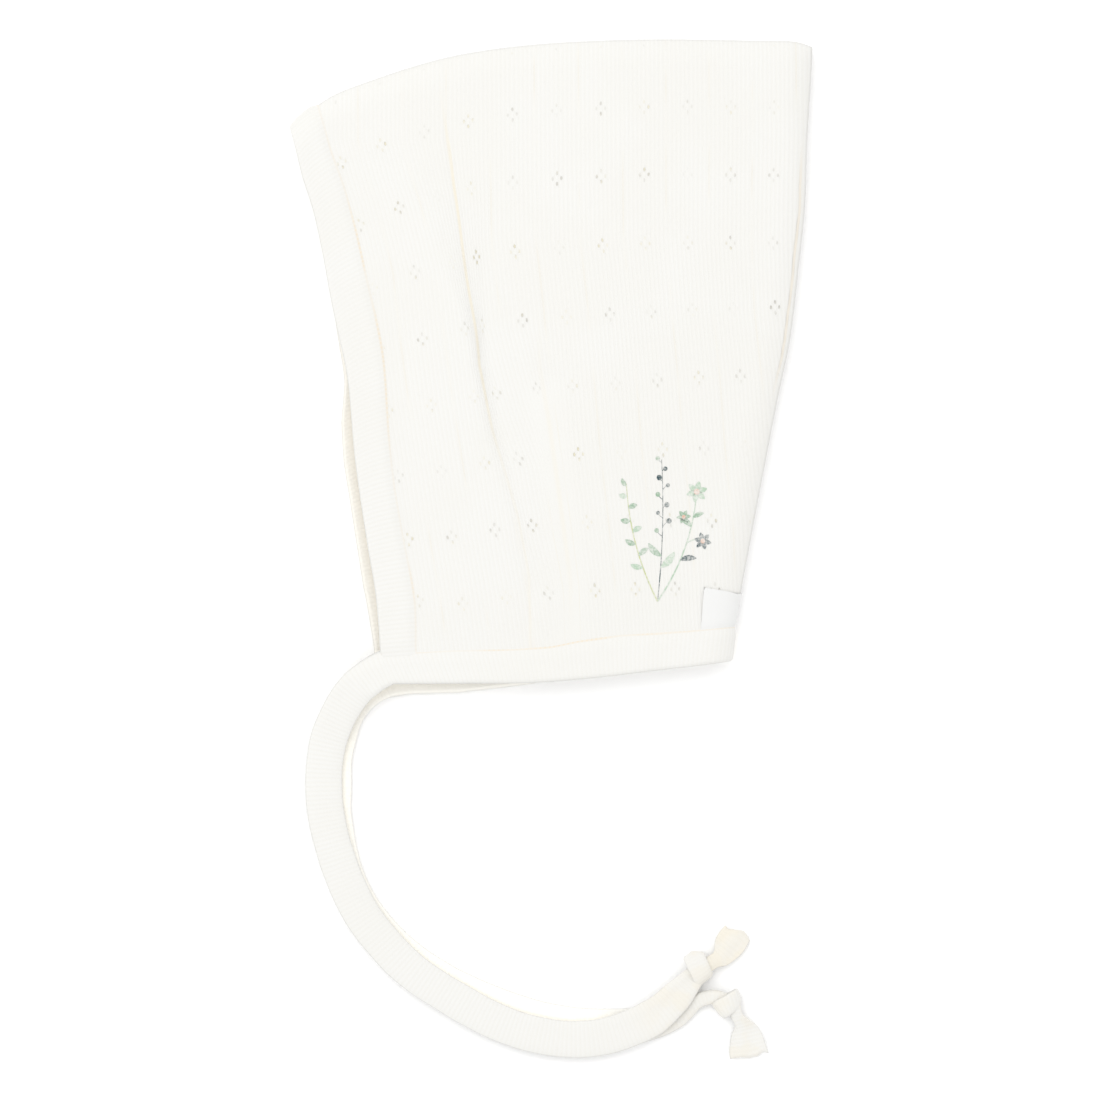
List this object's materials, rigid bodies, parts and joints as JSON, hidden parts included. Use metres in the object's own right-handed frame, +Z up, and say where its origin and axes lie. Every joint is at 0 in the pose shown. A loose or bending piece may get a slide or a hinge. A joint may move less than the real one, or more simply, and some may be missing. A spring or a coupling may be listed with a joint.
{
  "type": "pixie bonnet",
  "caption": "Soft pointelle rib bonnet lying on its side, folded at the crown and bound at face and neck, with knotted ties.",
  "frame": {"origin": "on the surface it lies on, under the middle of the folded bonnet without its ties", "axes": "+Z up off the surface, +X from the face opening to the back seam, +Y from the neck to the crown fold"},
  "size_m": [0.1616, 0.3168, 0.0121],
  "materials": {
    "pointelle_rib": "soft fine rib knit with eyelet diamonds",
    "binding_rib": "fine rib knit, ribs across the strip",
    "label_tape": "close woven tape, blank"
  },
  "bodies": {
    "root": {"hood": "pointelle_rib", "front_band": "binding_rib", "neck_band": "binding_rib", "near_tie": "binding_rib", "far_tie": "binding_rib", "near_knot": "binding_rib", "far_knot": "binding_rib", "near_tail": "binding_rib", "far_tail": "binding_rib", "label": "label_tape"}
  },
  "joints": []
}
